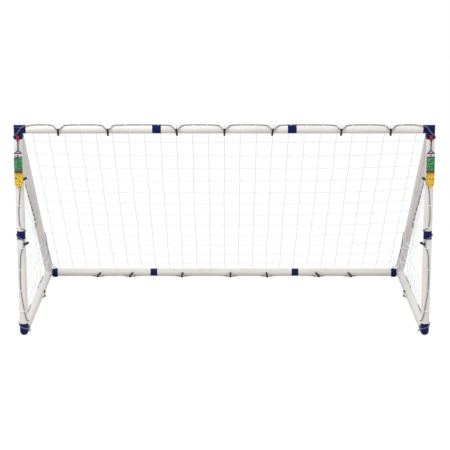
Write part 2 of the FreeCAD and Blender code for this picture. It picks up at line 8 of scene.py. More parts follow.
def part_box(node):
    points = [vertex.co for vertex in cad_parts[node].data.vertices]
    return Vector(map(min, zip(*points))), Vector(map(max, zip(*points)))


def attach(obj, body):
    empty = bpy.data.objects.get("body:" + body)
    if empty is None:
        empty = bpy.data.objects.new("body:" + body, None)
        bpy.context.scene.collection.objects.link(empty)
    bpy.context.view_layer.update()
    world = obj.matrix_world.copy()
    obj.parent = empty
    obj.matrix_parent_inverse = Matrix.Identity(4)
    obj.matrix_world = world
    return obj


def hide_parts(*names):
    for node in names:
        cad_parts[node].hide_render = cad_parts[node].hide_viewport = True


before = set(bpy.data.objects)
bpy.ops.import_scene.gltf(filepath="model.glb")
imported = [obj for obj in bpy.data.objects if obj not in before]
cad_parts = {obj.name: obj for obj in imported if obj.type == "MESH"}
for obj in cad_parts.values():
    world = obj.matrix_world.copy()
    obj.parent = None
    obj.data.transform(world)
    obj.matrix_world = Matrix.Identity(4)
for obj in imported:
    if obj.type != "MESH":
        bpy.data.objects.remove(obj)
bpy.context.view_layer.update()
bpy.ops.object.select_all(action="DESELECT")


def middleOf(node):
    low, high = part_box(node)
    return (low + high) / 2


# the tubes' axes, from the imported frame
postX = middleOf("post_tube_lower_right").x
postY = middleOf("post_tube_lower_right").y
crossZ = middleOf("crossbar_tube_centre").z
rearY = middleOf("rear_tube_centre").y
floorZ = middleOf("rear_tube_centre").z
tubeRadius = (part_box("rear_tube_centre")[1].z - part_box("rear_tube_centre")[0].z) / 2

sidePairs = (("left", -1), ("right", 1))
along = Vector((1, 0, 0))
back = Vector((0, 1, 0))
up = Vector((0, 0, 1))
topCentre = Vector((0, postY, crossZ))
stayRun = Vector((0, rearY - postY, floorZ - crossZ))
stayLength = stayRun.length
stayDown = stayRun.normalized()
netOut = along.cross(stayDown) * -1  # outwards from the back net, up and to the rear
if netOut.z < 0:
    netOut = netOut * -1


def place(x, y, z):
    # millimetres with the posts at y = 0, to metres in the frame
    return Vector((x / 1000, postY + y / 1000, z / 1000))


# small helpers for nodes and colours
def hexColour(text):
    parts = [int(text[at:at + 2], 16) / 255 for at in (0, 2, 4)]
    return [p / 12.92 if p <= 0.04045 else ((p + 0.055) / 1.055) ** 2.4 for p in parts] + [1]


def addNode(tree, kind, settings=None, links=None):
    node = tree.nodes.new(kind)
    for name, given in (settings or {}).items():
        if isinstance(name, int) or name in node.inputs:
            node.inputs[name].default_value = given
        else:
            setattr(node, name, given)
    for name, source in (links or {}).items():
        tree.links.new(source, node.inputs[name])
    return node


def startMaterial(name, colour, roughness, ior):
    material = bpy.data.materials.new(name)
    material.use_nodes = True
    shader = material.node_tree.nodes["Principled BSDF"]
    shader.inputs["Base Color"].default_value = hexColour(colour)
    shader.inputs["Roughness"].default_value = roughness
    shader.inputs["IOR"].default_value = ior
    return material, material.node_tree, shader


def colourSteps(tree, source, steps, interpolation="LINEAR"):
    ramp = addNode(tree, "ShaderNodeValToRGB", links={"Fac": source})
    ramp.color_ramp.interpolation = interpolation
    spots = ramp.color_ramp.elements
    while len(spots) < len(steps):
        spots.new(1)
    for spot, (where, colour) in zip(spots, steps):
        spot.position = where
        spot.color = hexColour(colour)
    return ramp.outputs["Color"]


def addBump(tree, shader, height, distance, strength=1.0):
    bump = addNode(tree, "ShaderNodeBump", {"Distance": distance, "Strength": strength}, {"Height": height})
    tree.links.new(bump.outputs["Normal"], shader.inputs["Normal"])


def roughRange(tree, shader, source, low, high):
    spread = addNode(tree, "ShaderNodeMapRange", {"To Min": low, "To Max": high}, {"Value": source})
    tree.links.new(spread.outputs["Result"], shader.inputs["Roughness"])


# finishes
tubeFinish = {
    "colour": "F1EEE9", "dull": "EAE6DF", "roughness": (0.26, 0.42), "ior": 1.53,
    "dieLine": 0.9, "dieLineDepth": 0.00001, "stretch": 250, "cloud": 140,
}


def makeTubeVinyl(name, turn):
    # extruded white uPVC pipe: satin, with faint die lines along it and a slight cream cast in places
    finish = tubeFinish
    material, tree, shader = startMaterial(name, finish["colour"], 0.34, finish["ior"])
    spot = addNode(tree, "ShaderNodeTexCoord").outputs["Object"]
    lined = addNode(tree, "ShaderNodeMapping",
                    {"vector_type": "TEXTURE", "Rotation": turn, "Scale": (1, 1, finish["stretch"])},
                    {"Vector": spot})
    dies = addNode(tree, "ShaderNodeTexNoise", {"Scale": 1000 / finish["dieLine"] / 2, "Detail": 2},
                   {"Vector": lined.outputs["Vector"]})
    cloud = addNode(tree, "ShaderNodeTexNoise", {"Scale": 1000 / finish["cloud"], "Detail": 4},
                    {"Vector": spot})
    tint = colourSteps(tree, cloud.outputs["Fac"], [(0.35, finish["dull"]), (0.6, finish["colour"])])
    tree.links.new(tint, shader.inputs["Base Color"])
    roughRange(tree, shader, cloud.outputs["Fac"], *finish["roughness"])
    addBump(tree, shader, dies.outputs["Fac"], finish["dieLineDepth"])
    return material


connectorFinish = {
    "colour": "01104A", "light": "02195C", "roughness": (0.18, 0.3), "ior": 1.54, "specular": 0.2,
    "grain": 0.8, "grainDepth": 0.00004, "cloud": 45,
}


def makeConnectorPlastic():
    # injection-moulded ABS, dyed navy: a fine mould grain under a soft gloss, paler where it was handled
    finish = connectorFinish
    material, tree, shader = startMaterial("navy_moulded_abs", finish["colour"], 0.35, finish["ior"])
    spot = addNode(tree, "ShaderNodeTexCoord").outputs["Object"]
    grain = addNode(tree, "ShaderNodeTexNoise", {"Scale": 1000 / finish["grain"], "Detail": 3},
                    {"Vector": spot})
    cloud = addNode(tree, "ShaderNodeTexNoise", {"Scale": 1000 / finish["cloud"], "Detail": 4},
                    {"Vector": spot})
    tint = colourSteps(tree, cloud.outputs["Fac"], [(0.35, finish["colour"]), (0.75, finish["light"])])
    tree.links.new(tint, shader.inputs["Base Color"])
    roughRange(tree, shader, cloud.outputs["Fac"], *finish["roughness"])
    addBump(tree, shader, grain.outputs["Fac"], finish["grainDepth"])
    shader.inputs["Specular IOR Level"].default_value = finish["specular"]
    return material


clipFinish = {"colour": "0D0D0F", "worn": "26262A", "roughness": (0.38, 0.6), "ior": 1.53, "grain": 0.7}


def makeClipNylon():
    # moulded black nylon: dull, with a pebbled grain
    finish = clipFinish
    material, tree, shader = startMaterial("black_moulded_nylon", finish["colour"], 0.5, finish["ior"])
    spot = addNode(tree, "ShaderNodeTexCoord").outputs["Object"]
    grain = addNode(tree, "ShaderNodeTexNoise", {"Scale": 1000 / finish["grain"], "Detail": 2},
                    {"Vector": spot})
    tint = colourSteps(tree, grain.outputs["Fac"], [(0.4, finish["colour"]), (0.75, finish["worn"])])
    tree.links.new(tint, shader.inputs["Base Color"])
    roughRange(tree, shader, grain.outputs["Fac"], *finish["roughness"])
    addBump(tree, shader, grain.outputs["Fac"], 0.00005)
    return material


twineFinish = {"colour": "EEEEF1", "grooveShade": "C9C9CF", "roughness": 0.62, "ior": 1.49, "ply": 5.0,
               "glow": 0.27}


def makeNetTwine():
    # twisted white polypropylene twine: slanting plies with painted shade in their grooves, a little sheen.
    # the plies are drawn 5 mm apart, coarser than real ones, so that they show. its glow isn't
    # a measured property: it is fitted so that the net looks faint over a white floor. 0 takes it away
    finish = twineFinish
    material, tree, shader = startMaterial("white_polypropylene_twine", finish["colour"], finish["roughness"],
                                           finish["ior"])
    spot = addNode(tree, "ShaderNodeTexCoord").outputs["Object"]
    turned = addNode(tree, "ShaderNodeMapping", {"Rotation": (0.6, 0.5, 0.7)}, {"Vector": spot})
    plies = addNode(tree, "ShaderNodeTexWave", {"Scale": 1000 / finish["ply"] / 3.2, "Distortion": 1.2,
                                                "Detail": 1, "Detail Scale": 2},
                    {"Vector": turned.outputs["Vector"]})
    # the groove colour is painted shade: the twine itself is white, the grey stands for shade between the
    # plies
    tint = colourSteps(tree, plies.outputs["Fac"], [(0.15, finish["grooveShade"]), (0.55, finish["colour"])])
    tree.links.new(tint, shader.inputs["Base Color"])
    addBump(tree, shader, plies.outputs["Fac"], 0.0003)
    shader.inputs["Sheen Weight"].default_value = 0.3
    shader.inputs["Sheen Roughness"].default_value = 0.4
    shader.inputs["Emission Color"].default_value = hexColour(finish["colour"])
    shader.inputs["Emission Strength"].default_value = finish["glow"]
    return material


cordFinish = {"colour": "6E6C7A", "dark": "3C3A46", "light": "A6A2B4", "roughness": 0.7, "ior": 1.5,
              "braid": 4.0}


def makeBraidedCord():
    # elastic cord in a braided polyester cover: light and dark threads crossing, drawn 4 mm long
    finish = cordFinish
    material, tree, shader = startMaterial("grey_braided_elastic", finish["colour"], finish["roughness"],
                                           finish["ior"])
    spot = addNode(tree, "ShaderNodeTexCoord").outputs["Object"]
    turned = addNode(tree, "ShaderNodeMapping", {"Rotation": (0.5, 0.6, 0.8)}, {"Vector": spot})
    threads = addNode(tree, "ShaderNodeTexChecker",
                      {"Scale": 1000 / finish["braid"], "Color1": hexColour(finish["dark"]),
                       "Color2": hexColour(finish["light"])}, {"Vector": turned.outputs["Vector"]})
    fuzz = addNode(tree, "ShaderNodeTexNoise", {"Scale": 900, "Detail": 3}, {"Vector": spot})
    mixed = addNode(tree, "ShaderNodeMix", {"data_type": "RGBA"})
    mixed.inputs["Factor"].default_value = 0.45
    mixed.inputs[6].default_value = hexColour(finish["colour"])
    tree.links.new(threads.outputs["Color"], mixed.inputs[7])
    tree.links.new(mixed.outputs[2], shader.inputs["Base Color"])
    addBump(tree, shader, fuzz.outputs["Fac"], 0.0004)
    shader.inputs["Sheen Weight"].default_value = 0.35
    shader.inputs["Sheen Roughness"].default_value = 0.5
    return material


def makeTagPlastic(name, colour, light, roughness):
    # small glossy mouldings of polypropylene, with soft flow marks
    material, tree, shader = startMaterial(name, colour, roughness, 1.49)
    spot = addNode(tree, "ShaderNodeTexCoord").outputs["Object"]
    flow = addNode(tree, "ShaderNodeTexNoise", {"Scale": 90, "Detail": 3, "Distortion": 0.8},
                   {"Vector": spot})
    tint = colourSteps(tree, flow.outputs["Fac"], [(0.35, colour), (0.75, light)])
    tree.links.new(tint, shader.inputs["Base Color"])
    addBump(tree, shader, flow.outputs["Fac"], 0.00008)
    shader.inputs["Coat Weight"].default_value = 0.3
    return material


def makeStrapWeave():
    # dark woven polyester tape with a rib across it every 1.2 mm
    material, tree, shader = startMaterial("dark_woven_tape", "2A1A22", 0.75, 1.5)
    spot = addNode(tree, "ShaderNodeTexCoord").outputs["Object"]
    ribs = addNode(tree, "ShaderNodeTexWave", {"bands_direction": "Z", "Scale": 1000 / 1.2 / 6.28 * 2,
                                               "Distortion": 0.4}, {"Vector": spot})
    tint = colourSteps(tree, ribs.outputs["Fac"], [(0.2, "170D14"), (0.8, "463040")])
    tree.links.new(tint, shader.inputs["Base Color"])
    addBump(tree, shader, ribs.outputs["Fac"], 0.0002)
    return material


tubeAcross = makeTubeVinyl("white_upvc_tube_across", (0, math.pi / 2, 0))
tubeUpright = makeTubeVinyl("white_upvc_tube_upright", (0, 0, 0))
tubeFloor = makeTubeVinyl("white_upvc_tube_floor", (math.pi / 2, 0, 0))
tubeStay = makeTubeVinyl("white_upvc_tube_stay", (math.acos(-stayDown.z), 0, 0))
connectorPlastic = makeConnectorPlastic()
clipNylon = makeClipNylon()
netTwine = makeNetTwine()
braidedCord = makeBraidedCord()
redPlastic = makeTagPlastic("red_moulded_clip", "8E0F2C", "B4203C", 0.3)
hangerPlastic = makeTagPlastic("navy_moulded_hanger", "0C1A58", "1A2E7E", 0.3)
webPlastic = makeTagPlastic("pale_blue_web", "BCCDE8", "D2DFF2", 0.35)
strapWeave = makeStrapWeave()
print("materials made")

nodeFinishes = [
    (tubeAcross, ["crossbar_tube_left", "crossbar_tube_centre", "crossbar_tube_right",
                  "rear_tube_left", "rear_tube_centre", "rear_tube_right"]),
    (tubeUpright, ["post_tube_upper_left", "post_tube_upper_right",
                   "post_tube_lower_left", "post_tube_lower_right"]),
    (tubeFloor, ["side_floor_tube_left", "side_floor_tube_right"]),
    (tubeStay, ["stay_tube_left", "stay_tube_right"]),
    (connectorPlastic, ["top_corner_left", "top_corner_right", "foot_elbow_left", "foot_elbow_right",
                        "rear_corner_left", "rear_corner_right", "crossbar_coupling_left",
                        "crossbar_coupling_right", "rear_coupling_left", "rear_coupling_right",
                        "post_coupling_left", "post_coupling_right"]),
    (clipNylon, ["crossbar_clips", "rear_clips", "post_clips_left", "post_clips_right",
                 "floor_clip_left", "floor_clip_right"]),
    (redPlastic, ["tag_clip_left", "tag_clip_right"]),
]
for finish, names in nodeFinishes:
    for name in names:
        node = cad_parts[name]
        node.data.materials.clear()
        node.data.materials.append(finish)
print("frame finished")


# border cords: the same routes as the part's, millimetres with the posts at y = 0
cordFacts = {"thick": 0.005, "clipsOnCrossbar": (-960, -674, -278, 0, 280, 675, 960),
             "clipsOnRear": ((-846, -38), (-627, -38), (-285, -11), (41, 0), (286, 11), (626, 38), (845, 38))}

cornerWrap = [
    (-1198, 31, 1181), (-1217, 24, 1188), (-1227, 2, 1202), (-1218, -23, 1215), (-1197, -32, 1229),
    (-1168, -31, 1272), (-1140, -22, 1271), (-1110, -8, 1278),
]
sideRoute = [
    (-1195, -27.8, 1174), (-1194, -28.6, 1150), (-1195, -28.4, 1110),
    (-1193, -30, 1060), (-1190, -29, 1005), (-1174, -24.9, 969), (-1174, -24.9, 949),
    (-1188, -28.8, 918), (-1198, -28.5, 825), (-1204, -27.5, 735), (-1196, -30, 668), (-1173, -24, 656),
    (-1164, -1, 648), (-1173, 22, 640), (-1195, 31, 634), (-1217, 23, 628), (-1226, 0, 621),
    (-1217, -23, 614), (-1195, -31, 605), (-1177, -27.5, 593), (-1174, -24.9, 581), (-1174, -24.9, 561),
    (-1186, -29, 540), (-1198, -28.8, 515), (-1203, -27.8, 459), (-1206, -26.8, 387),
    (-1206, -26.8, 316), (-1201, -28.4, 255), (-1191, -28.9, 194), (-1183, -27.2, 137),
    (-1172, -23.5, 103), (-1163, -2, 92), (-1172, 24, 90), (-1195, 35, 89), (-1219, 23, 85),
    (-1227, -2, 77), (-1218, -25, 67), (-1193, -34, 57), (-1170, -25, 50), (-1161, 4, 40),
    (-1162, 42, 24), (-1167, 70, 8), (-1181, 92, 3), (-1208, 122, 3), (-1223, 144, 12),
    (-1228, 170, 34), (-1219, 206, 53), (-1216, 262, 53), (-1213, 345, 54), (-1213, 430, 54),
    (-1220, 500, 48), (-1226, 560, 30), (-1222, 640, 9), (-1214, 715, 4), (-1200, 772, 3.2),
    (-1182, 805, 3.6), (-1175, 825, 4), (-1175, 841, 4), (-1182, 861, 3.6), (-1204, 895, 3.2),
    (-1222, 935, 10), (-1227, 980, 34), (-1216, 1030, 53), (-1214, 1090, 54), (-1220, 1170, 48),
    (-1226, 1230, 31),
]
stayRoute = [
    (-1189, 53, 1163), (-1208, 65, 1152), (-1225, 89, 1155), (-1226, 120, 1148), (-1224, 160, 1110),
    (-1224, 224, 1047), (-1223, 311, 962), (-1222, 414, 864), (-1219, 514, 764), (-1213, 607, 671),
    (-1207, 702, 581), (-1207, 784, 506), (-1214, 830, 467), (-1226, 868, 455), (-1224, 905, 452),
    (-1206, 938, 443), (-1182, 960, 422), (-1166, 973, 388), (-1165, 1000, 342), (-1167, 1055, 288),
    (-1167, 1121, 232), (-1166, 1198, 168), (-1165, 1262, 112), (-1162, 1306, 81), (-1155, 1334, 67),
    (-1147, 1359, 60), (-1142, 1378, 44), (-1138, 1381, 22), (-1128, 1374, 8),
]


def mirrored(route):
    return [(-x, y, z) for x, y, z in route]


overCrossbar = []
for x in cordFacts["clipsOnCrossbar"]:
    overCrossbar += [(x - 46, -7.5, 1277.3), (x - 25, -24.5, 1272), (x - 8, -33.4, 1250.1),
                     (x + 8, -33.4, 1250.1), (x + 25, -24.5, 1272), (x + 46, -7.5, 1277.3)]
underRear = [(-1122, 1372, 5), (-1092, 1366, 3.6), (-1040, 1370, 3.4)]
for x, lean in cordFacts["clipsOnRear"]:
    tip = x + 20 * math.sin(math.radians(lean))
    underRear += [(tip - 54, 1367, 4), (tip - 29, 1349, 3.2), (tip - 9, 1332, 4),
                  (tip + 9, 1332, 4), (tip + 29, 1349, 3.2), (tip + 54, 1367, 4)]

cordRoutes = {
    "crossbar_cord": cornerWrap + overCrossbar + mirrored(cornerWrap)[::-1],
    "rear_cord": underRear + mirrored(underRear[:3])[::-1],
    "side_cord_left": sideRoute, "side_cord_right": mirrored(sideRoute),
    "stay_cord_left": stayRoute, "stay_cord_right": mirrored(stayRoute),
}


def cordLine(route):
    # the smooth line of a cord, which bends through the middles of its route's legs
    spots = [place(*spot) for spot in route]
    line = [spots[0]]
    for number in range(1, len(spots) - 1):
        before, at, after = spots[number - 1], spots[number], spots[number + 1]
        start = before if number == 1 else (before + at) / 2
        end = after if number == len(spots) - 2 else (at + after) / 2
        for step in range(1, 9):
            part = step / 8
            line.append(start * (1 - part) ** 2 + at * 2 * part * (1 - part) + end * part ** 2)
    return line


def lineLength(line):
    return sum((b - a).length for a, b in zip(line, line[1:]))


cordLines = {}
for name, route in cordRoutes.items():
    curve = bpy.data.curves.new(name, "CURVE")
    curve.dimensions = "3D"
    curve.bevel_depth = cordFacts["thick"] / 2
    curve.bevel_resolution = 3
    curve.resolution_u = 6
    curve.use_fill_caps = True
    spline = curve.splines.new("NURBS")
    spline.points.add(len(route) - 1)
    for spot, at in zip(spline.points, route):
        spot.co = (*place(*at), 1)
    spline.order_u = 3
    spline.use_endpoint_u = True
    curve.materials.append(braidedCord)
    piece = bpy.data.objects.new("border_" + name, curve)
    bpy.context.collection.objects.link(piece)
    cordLines[name] = cordLine(route)
    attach(piece, "frame")
    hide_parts(name)
    print("cord", name, round(lineLength(cordLines[name]), 3))

# net: back panel over the crossbar, stays and rear bar, and a panel on each side
netFacts = {
    "twine": 0.0036, "clear": 0.0268, "columnPitch": 0.0935, "columns": 12, "rowStarts": 0.158,
    "rowPitch": 0.1405, "rows": 12, "droop": 0.032, "scallop": 0.006, "wander": 0.005, "knot": 0.0036,
    "sideColumns": 13, "sidePitch": 0.0985, "sideRowStarts": 0.160, "sideRowPitch": 0.128, "sideRows": 8,
}


def wander(a, b):
    # small repeatable irregularity, from -1 to 1
    return (math.sin(a * 1.7 + b * 2.3) + math.sin(a * 0.83 - b * 1.31 + 1.1)
            + math.sin(a * 3.1 + b * 0.57)) / 3


def cylinderPlace(spot, axisSpot, axisWay, first, second):
    offset = spot - axisSpot
    run = offset.dot(axisWay)
    return run, math.atan2(offset.dot(second), offset.dot(first)), (offset - axisWay * run).length


class TubeAxis:
    def __init__(self, spot, way, cords):
        self.spot, self.way = spot, way.normalized()
        self.first = (along if abs(self.way.x) < 0.5 else back).copy()
        self.first = (self.first - self.way * self.first.dot(self.way)).normalized()
        self.second = self.way.cross(self.first)
        self.line = [(cylinderPlace(q, spot, self.way, self.first, self.second)[0], q, p, r)
                     for name in cords
                     for p, q, r in zip(cordLines[name], cordLines[name][1:], cordLines[name][2:])
                     if cylinderPlace(q, spot, self.way, self.first, self.second)[2] < 0.045]

    def tie(self, run):
        # the cord's place at this length along the tube, and the cord's direction there
        found = min(self.line, key=lambda entry: abs(entry[0] - run))
        return found[1], (found[3] - found[2]).normalized()

    def wrap(self, start, run):
        # points of a twine from start round the tube to the cord, and the place of its loop
        target, way = self.tie(run)
        begin = cylinderPlace(start, self.spot, self.way, self.first, self.second)
        end = cylinderPlace(target, self.spot, self.way, self.first, self.second)
        turn = (end[1] - begin[1] + math.pi) % (2 * math.pi) - math.pi
        points = []
        for step in range(1, 7):
            part = step / 6
            angle = begin[1] + turn * part
            radius = max(netFacts["clear"], begin[2] + (end[2] - begin[2]) * part)
            reach = begin[0] + (end[0] - begin[0]) * part
            points.append(self.spot + self.way * reach
                          + (self.first * math.cos(angle) + self.second * math.sin(angle)) * radius)
        return points, (target, way)


crossAxis = TubeAxis(topCentre, along, ["crossbar_cord"])
rearAxis = TubeAxis(Vector((0, rearY, floorZ)), along, ["rear_cord"])
postAxes, stayAxes, floorAxes = {}, {}, {}
for ending, side in sidePairs:
    postAxes[side] = TubeAxis(Vector((side * postX, postY, 0)), up, ["side_cord_" + ending])
    stayAxes[side] = TubeAxis(Vector((side * postX, postY, crossZ)), stayDown, ["stay_cord_" + ending])
    floorAxes[side] = TubeAxis(Vector((side * postX, postY, floorZ)), back, ["side_cord_" + ending])


def cellPoints(knots, steps, drop):
    # a twine through its knots, hanging a little between them
    points = [knots[0]]
    for a, b in zip(knots, knots[1:]):
        level = (Vector((b.x - a.x, b.y - a.y, 0)).length / max((b - a).length, 0.001))
        for step in range(1, steps + 1):
            part = step / steps
            points.append(a.lerp(b, part) - up * (drop * level * 4 * part * (1 - part)))
    return points


def addTwine(curve, points):
    spline = curve.splines.new("POLY")
    spline.points.add(len(points) - 1)
    for spot, at in zip(spline.points, points):
        spot.co = (*at, 1)


def newTwineCurve(name):
    curve = bpy.data.curves.new(name, "CURVE")
    curve.dimensions = "3D"
    curve.bevel_depth = netFacts["twine"] / 2
    curve.bevel_resolution = 1
    curve.use_fill_caps = True
    return curve


def makeKnot():
    # one tied crossing: a lump pulled out along both twines
    bpy.ops.mesh.primitive_ico_sphere_add(subdivisions=1, radius=netFacts["knot"])
    knot = bpy.context.object
    bpy.ops.object.mode_set(mode="EDIT")
    bpy.ops.mesh.select_all(action="SELECT")
    bpy.ops.transform.resize(value=(1.25, 0.85, 1.0), center_override=(0, 0, 0))
    bpy.ops.mesh.duplicate()
    bpy.ops.transform.resize(value=(0.6, 1.1, 1.25), center_override=(0, 0, 0))
    bpy.ops.mesh.select_all(action="DESELECT")
    bpy.ops.object.mode_set(mode="OBJECT")
    shape = knot.data.copy()
    bpy.data.objects.remove(knot)
    return shape


def makeLoop():
    # one turn of twine round a border cord
    bpy.ops.mesh.primitive_torus_add(major_segments=9, minor_segments=5,
                                     major_radius=cordFacts["thick"] / 2 + netFacts["twine"] * 0.45,
                                     minor_radius=netFacts["twine"] / 2)
    loop = bpy.context.object
    bpy.ops.object.mode_set(mode="EDIT")
    bpy.ops.mesh.select_all(action="SELECT")
    bpy.ops.transform.resize(value=(1, 1, 1.3), center_override=(0, 0, 0))
    bpy.ops.object.mode_set(mode="OBJECT")
    shape = loop.data.copy()
    bpy.data.objects.remove(loop)
    return shape


knotShape, loopShape = makeKnot(), makeLoop()


def finishNet(name, curve, knots, loops, replaced):
    # twines made a mesh, with a knot at each crossing and a loop at each end
    strands = bpy.data.objects.new(name + "_twines", curve)
    bpy.context.collection.objects.link(strands)
    bpy.ops.object.select_all(action="DESELECT")
    strands.select_set(True)
    bpy.context.view_layer.objects.active = strands
    bpy.ops.object.convert(target="MESH")
    strands = bpy.context.object
    body = bmesh.new()
    body.from_mesh(strands.data)
    for shape, places in ((knotShape, knots), (loopShape, loops)):
        for number, (spot, way) in enumerate(places):
            before = len(body.verts)
            body.from_mesh(shape)
            body.verts.ensure_lookup_table()
            turn = way.to_track_quat("Z", "Y").to_matrix().to_4x4()
            spin = Matrix.Rotation(number * 0.7, 4, "Z")
            bmesh.ops.transform(body, matrix=Matrix.Translation(spot) @ turn @ spin,
                                verts=body.verts[before:])
    body.to_mesh(strands.data)
    body.free()
    strands.name = name
    strands.data.name = name
    strands.data.materials.clear()
    strands.data.materials.append(netTwine)
    for face in strands.data.polygons:
        face.material_index = 0
        face.use_smooth = True
    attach(strands, "frame")
    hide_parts(replaced)
    print(name, len(strands.data.polygons), "faces")


def backSpot(column, run):
    # a place on the back panel, which lies over the tubes at its edges and sinks in between them
    across = column * netFacts["columnPitch"]
    alongRun = math.sin(math.pi * min(1, max(0, run / stayLength))) ** 0.6
    inside = max(0.0, 1 - (abs(across) / postX) ** 4) * alongRun
    row = run / netFacts["rowPitch"]
    across += netFacts["wander"] * inside * wander(column * 0.9, row * 1.3)
    run += netFacts["wander"] * inside * wander(column * 1.4 + 5, row * 0.8)
    lift = netFacts["clear"] - netFacts["droop"] * inside
    return Vector((across, postY, crossZ)) + stayDown * run + netOut * lift


backCurve = newTwineCurve("back_net")
backKnots, backLoops = [], []
rowRuns = [netFacts["rowStarts"] + number * netFacts["rowPitch"] for number in range(netFacts["rows"])]
columnNumbers = range(-netFacts["columns"], netFacts["columns"] + 1)
for column in columnNumbers:
    knots = [backSpot(column, run) for run in [0.0] + rowRuns + [stayLength]]
    points = cellPoints(knots, 2, netFacts["scallop"] * 0.3)
    first, topTie = crossAxis.wrap(knots[0], knots[0].x)
    last, lowTie = rearAxis.wrap(knots[-1], knots[-1].x)
    addTwine(backCurve, first[::-1] + points + last)
    backKnots += [(knot, netOut) for knot in knots[1:-1]]
    backLoops += [topTie, lowTie]
for run in rowRuns:
    knots = [backSpot(column, run) for column in columnNumbers]
    ends = {}
    for side in (-1, 1):
        edge = Vector((side * postX, postY, crossZ)) + stayDown * run
        target, way = stayAxes[side].tie(run)
        if abs(target.x) > postX - 0.005:
            onTube = edge + netOut * netFacts["clear"]
            wrapped, tie = stayAxes[side].wrap(onTube, run)
            ends[side] = ([onTube] + wrapped, tie)
        else:
            ends[side] = ([target], (target, way))
        backLoops.append(ends[side][1])
    points = cellPoints([ends[-1][0][0]] + knots + [ends[1][0][0]], 4, netFacts["scallop"])
    addTwine(backCurve, ends[-1][0][:0:-1] + points + ends[1][0][1:])
finishNet("back_net", backCurve, backKnots, backLoops, "net_back")


def sideSpot(side, deep, high, row):
    # a place on a side panel: outside the tubes at its edges, sunk inwards between them
    toStay = (crossZ - high) * (-stayDown.y / stayDown.z) - deep
    nearest = max(0.0, min(deep, high - floorZ, toStay * 0.66) / 0.22)
    inside = min(1.0, nearest) ** 2 * (3 - 2 * min(1.0, nearest))
    deep += netFacts["wander"] * inside * wander(deep * 19 + side, row)
    high += netFacts["wander"] * inside * wander(deep * 13 + 3, row * 1.7 + side)
    return Vector((side * (postX + netFacts["clear"] - netFacts["droop"] * inside), postY + deep, high))


for ending, side in sidePairs:
    sideCurve = newTwineCurve("side_net_" + ending)
    sideKnots, sideLoops = [], []
    slope = -stayDown.z / stayDown.y
    highs = [netFacts["sideRowStarts"] + number * netFacts["sideRowPitch"]
             for number in range(netFacts["sideRows"])]
    deeps = [number * netFacts["sidePitch"] for number in range(1, netFacts["sideColumns"] + 1)]
    for number, deep in enumerate(deeps):
        top = crossZ - deep * slope
        if top < floorZ + 0.06:
            continue
        knots = [sideSpot(side, deep, high, row) for row, high in enumerate(highs) if high < top - 0.035]
        low = Vector((side * (postX + netFacts["clear"]), postY + deep, floorZ))
        high = Vector((side * (postX + netFacts["clear"]), postY + deep, top))
        lowPart, lowTie = floorAxes[side].wrap(low, deep)
        topRun = deep / stayDown.y
        target, way = stayAxes[side].tie(topRun)
        if abs(target.x) > postX:
            topPart, topTie = stayAxes[side].wrap(high, topRun)
        else:
            high = target
            topPart, topTie = [target], (target, way)
        points = cellPoints([low] + knots + [high], 3, netFacts["scallop"] * 0.4)
        addTwine(sideCurve, lowPart[::-1] + points + topPart[1:])
        sideKnots += [(knot, along) for knot in knots]
        sideLoops += [lowTie, topTie]
    for row, high in enumerate(highs):
        reach = (crossZ - high) / slope
        inner = [deep for deep in deeps if deep < reach - 0.03]
        start = Vector((side * (postX + netFacts["clear"]), postY, high))
        startPart, startTie = postAxes[side].wrap(start, high)
        endRun = reach / stayDown.y
        finish = Vector((side * (postX + netFacts["clear"]), postY + reach, high))
        target, way = stayAxes[side].tie(endRun)
        if abs(target.x) > postX:
            endPart, endTie = stayAxes[side].wrap(finish, endRun)
        else:
            finish = target
            endPart, endTie = [target], (target, way)
        knots = [sideSpot(side, deep, high, row) for deep in inner]
        points = cellPoints([start] + knots + [finish], 4, netFacts["scallop"])
        addTwine(sideCurve, startPart[::-1] + points + endPart[1:])
        sideLoops += [startTie, endTie]
    finishNet("side_net_" + ending, sideCurve, sideKnots, sideLoops, "net_side_" + ending)

# hang tags: strap, hanger and printed card on each post
tagFacts = {
    "hangerRound": 0.0008, "cardTall": 0.196, "cardThick": 0.0012, "curl": 0.003,
    "zig": 0.012, "rimWide": 0.0058, "rimThick": 0.003, "rimCorner": 0.0028, "webThick": 0.001,
    "strapWide": 0.0042, "strapRound": 0.0026, "strapThick": 0.0009, "pinDrop": 0.0037,
}


